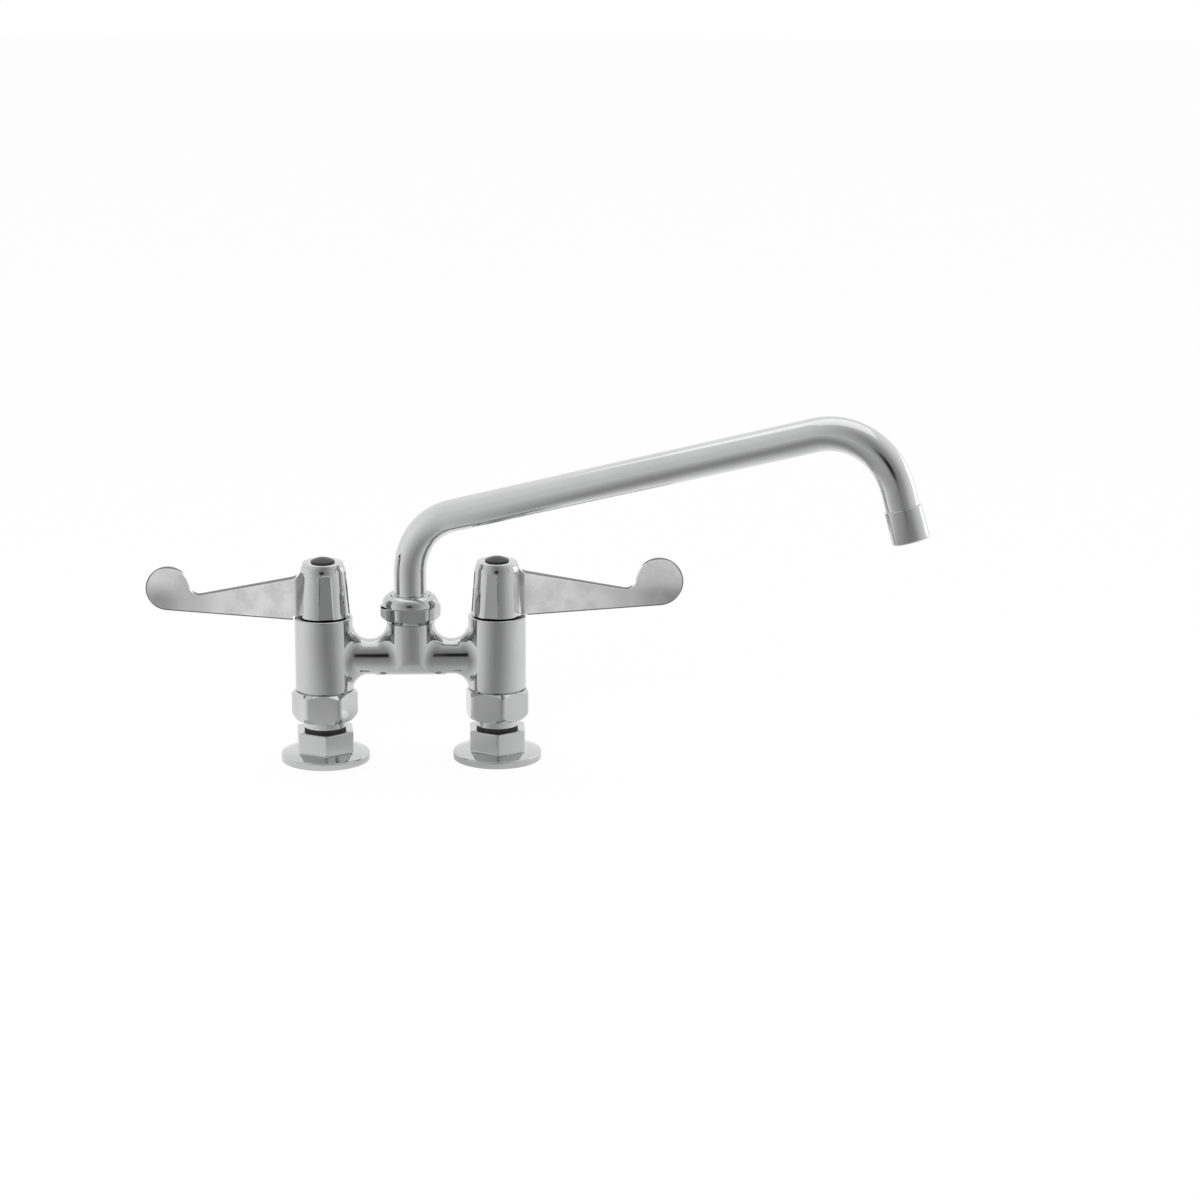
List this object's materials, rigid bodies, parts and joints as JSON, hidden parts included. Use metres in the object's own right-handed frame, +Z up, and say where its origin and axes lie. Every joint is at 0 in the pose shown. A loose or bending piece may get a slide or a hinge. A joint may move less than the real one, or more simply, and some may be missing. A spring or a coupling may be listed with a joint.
{
  "type": "deck-mounted kitchen tap",
  "caption": "Deck-mounted commercial bridge faucet with an angled swing spout and wrist-blade lever handles, chrome plated.",
  "frame": {"origin": "on the deck, midway between the two inlets", "axes": "+Z up, +X to the right as seen by the person at the sink, -Y towards that person"},
  "size_m": [0.436, 0.1733, 0.2272],
  "materials": {
    "chrome_casting": "polished chrome plate on cast brass",
    "chrome_fittings": "polished chrome plate on turned brass",
    "chrome_tube": "polished chrome plate on tube",
    "chrome_handle": "chrome plate on a hand-finished casting, soft on the blade faces",
    "button": "dark grey moulded",
    "brass": "turned",
    "steel": "bright",
    "rubber": "moulded",
    "ceramic": "lapped ceramic",
    "fibre": "pressed fibre",
    "plastic": "moulded"
  },
  "bodies": {
    "body": {"bridge_body": "chrome_casting", "deck_flange_left": "chrome_fittings", "deck_flange_right": "chrome_fittings", "shank_left": "chrome_fittings", "shank_right": "chrome_fittings", "shank_washer_left": "rubber", "shank_washer_right": "rubber", "coupling_washer_left": "fibre", "coupling_washer_right": "fibre", "coupling_nut_left": "chrome_fittings", "coupling_nut_right": "chrome_fittings", "swivel_nut": "chrome_fittings", "swivel_washer": "plastic", "cartridge_body_left": "brass", "cartridge_body_right": "brass", "seat_seal_left": "rubber", "seat_seal_right": "rubber", "fixed_disc_left": "ceramic", "fixed_disc_right": "ceramic"},
    "spout": {"spout_tube": "chrome_tube", "spout_bearing": "chrome_fittings", "spout_seals": "rubber", "outlet_sleeve": "chrome_fittings", "outlet_washer": "rubber", "aerator_insert": "plastic", "aerator_screens": "steel"},
    "left_handle": {"handle_left": "chrome_handle", "handle_screw_left": "steel", "index_button_left": "button", "cartridge_stem_left": "brass", "stem_seal_left": "rubber", "turning_disc_left": "ceramic"},
    "right_handle": {"handle_right": "chrome_handle", "handle_screw_right": "steel", "index_button_right": "button", "cartridge_stem_right": "brass", "stem_seal_right": "rubber", "turning_disc_right": "ceramic"}
  },
  "joints": [
    {"name": "spout_swivel", "type": "hinge", "parent": "body", "child": "spout", "pos_m": [0, 0, 0.09], "axis": [0, 0, 1], "continuous": true},
    {"name": "left_handle_turn", "type": "hinge", "parent": "body", "child": "left_handle", "pos_m": [-0.0508, 0, 0.09], "axis": [0, 0, 1], "range_deg": [0, 90]},
    {"name": "right_handle_turn", "type": "hinge", "parent": "body", "child": "right_handle", "pos_m": [0.0508, 0, 0.09], "axis": [0, 0, 1], "range_deg": [-90, 0]}
  ]
}
